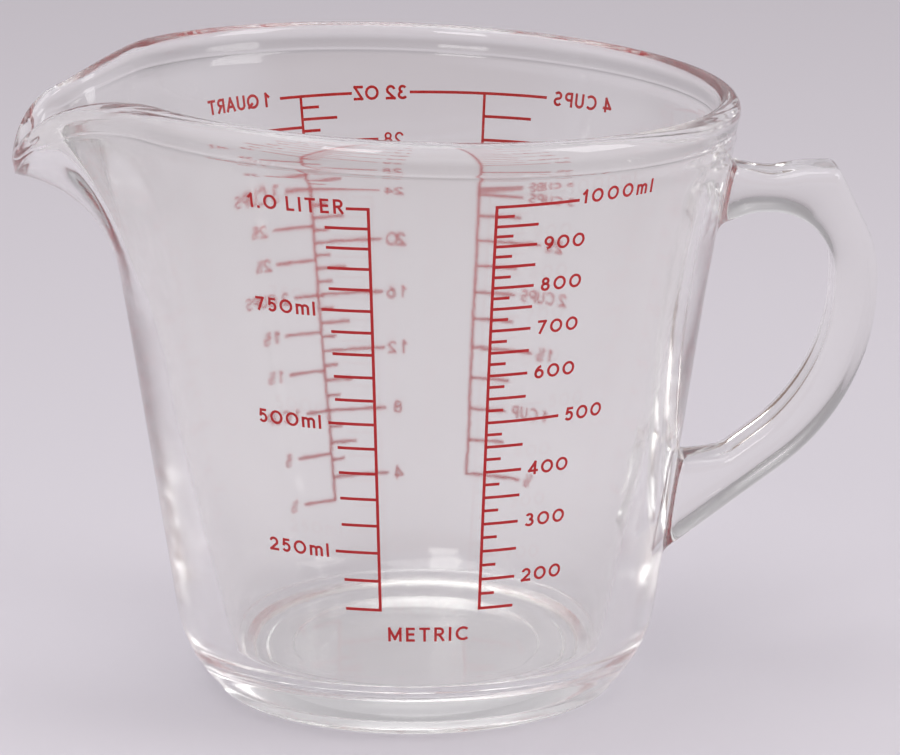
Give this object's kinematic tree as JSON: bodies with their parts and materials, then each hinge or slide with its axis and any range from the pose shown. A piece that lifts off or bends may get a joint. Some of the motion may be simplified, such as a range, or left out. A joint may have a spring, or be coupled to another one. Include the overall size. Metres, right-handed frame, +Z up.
{
  "type": "measuring jug",
  "caption": "Clear pressed-glass measuring jug with a flared pouring spout, a loop handle and red fired-enamel volume scales on its front and back.",
  "frame": {"origin": "point on the table under the jug's axis, in the plane of the foot ring", "axes": "+Z up along the jug's axis, -X towards the spout, +X towards the handle, metric scales facing -Y"},
  "size_m": [0.1827, 0.1386, 0.1333],
  "materials": {
    "glass": "fire-polished",
    "enamel": "fired gloss"
  },
  "bodies": {
    "root": {"bowl": "glass", "spout": "glass", "handle": "glass", "litre_spine": "enamel", "litre_label_lines": "enamel", "litre_lines": "enamel", "millilitre_spine": "enamel", "millilitre_main_lines": "enamel", "millilitre_lines": "enamel", "millilitre_short_lines": "enamel", "quart_line": "enamel", "ounce_spine": "enamel", "ounce_label_lines": "enamel", "ounce_pair_lines": "enamel", "ounce_lines": "enamel", "third_cup_lines": "enamel", "whole_cup_lines": "enamel", "cup_spine": "enamel", "quarter_cup_lines": "enamel", "half_cup_lines": "enamel"}
  },
  "joints": []
}
